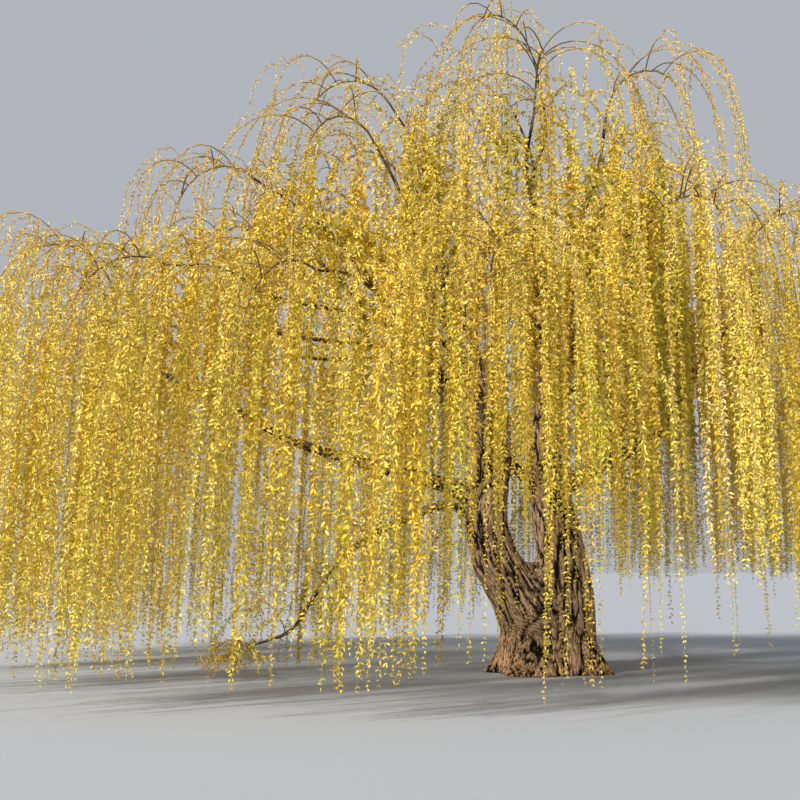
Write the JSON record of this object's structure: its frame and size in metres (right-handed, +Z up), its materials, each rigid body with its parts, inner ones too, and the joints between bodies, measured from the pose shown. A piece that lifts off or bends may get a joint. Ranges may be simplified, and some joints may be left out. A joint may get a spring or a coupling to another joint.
{
  "type": "weeping willow tree",
  "caption": "Golden weeping willow in early spring: short forked trunk with flared foot, arching boughs and a wide crown of long hanging leafy strands.",
  "frame": {"origin": "middle of the flat cut under the trunk, at ground level", "axes": "+Z up; -Y towards the viewer of the picture and +X to the viewer's right"},
  "size_m": [14.7629, 11.3595, 10.547],
  "materials": {
    "bark": "rough furrowed bark",
    "foliage": "matte leaves and catkins"
  },
  "bodies": {
    "root": {"trunk": "bark", "left_stem": "bark", "right_stem": "bark", "low_bough": "bark", "low_bough_end": "bark", "top_1_bough": "bark", "top_2_bough": "bark", "top_3_bough": "bark", "top_4_bough": "bark", "middle_1_bough": "bark", "middle_2_bough": "bark", "middle_3_bough": "bark", "middle_4_bough": "bark", "middle_5_bough": "bark", "middle_6_bough": "bark", "middle_7_bough": "bark", "middle_8_bough": "bark", "outer_1_bough": "bark", "outer_2_bough": "bark", "outer_3_bough": "bark", "outer_4_bough": "bark", "outer_5_bough": "bark", "outer_6_bough": "bark", "outer_7_bough": "bark", "outer_8_bough": "bark", "outer_9_bough": "bark", "outer_10_bough": "bark", "outer_11_bough": "bark", "outer_12_bough": "bark", "outer_13_bough": "bark", "low_foliage": "foliage", "top_1_foliage": "foliage", "top_2_foliage": "foliage", "top_3_foliage": "foliage", "top_4_foliage": "foliage", "middle_1_foliage": "foliage", "middle_2_foliage": "foliage", "middle_3_foliage": "foliage", "middle_4_foliage": "foliage", "middle_5_foliage": "foliage", "middle_6_foliage": "foliage", "middle_7_foliage": "foliage", "middle_8_foliage": "foliage", "outer_1_foliage": "foliage", "outer_2_foliage": "foliage", "outer_3_foliage": "foliage", "outer_4_foliage": "foliage", "outer_5_foliage": "foliage", "outer_6_foliage": "foliage", "outer_7_foliage": "foliage", "outer_8_foliage": "foliage", "outer_9_foliage": "foliage", "outer_10_foliage": "foliage", "outer_11_foliage": "foliage", "outer_12_foliage": "foliage", "outer_13_foliage": "foliage"}
  },
  "joints": []
}
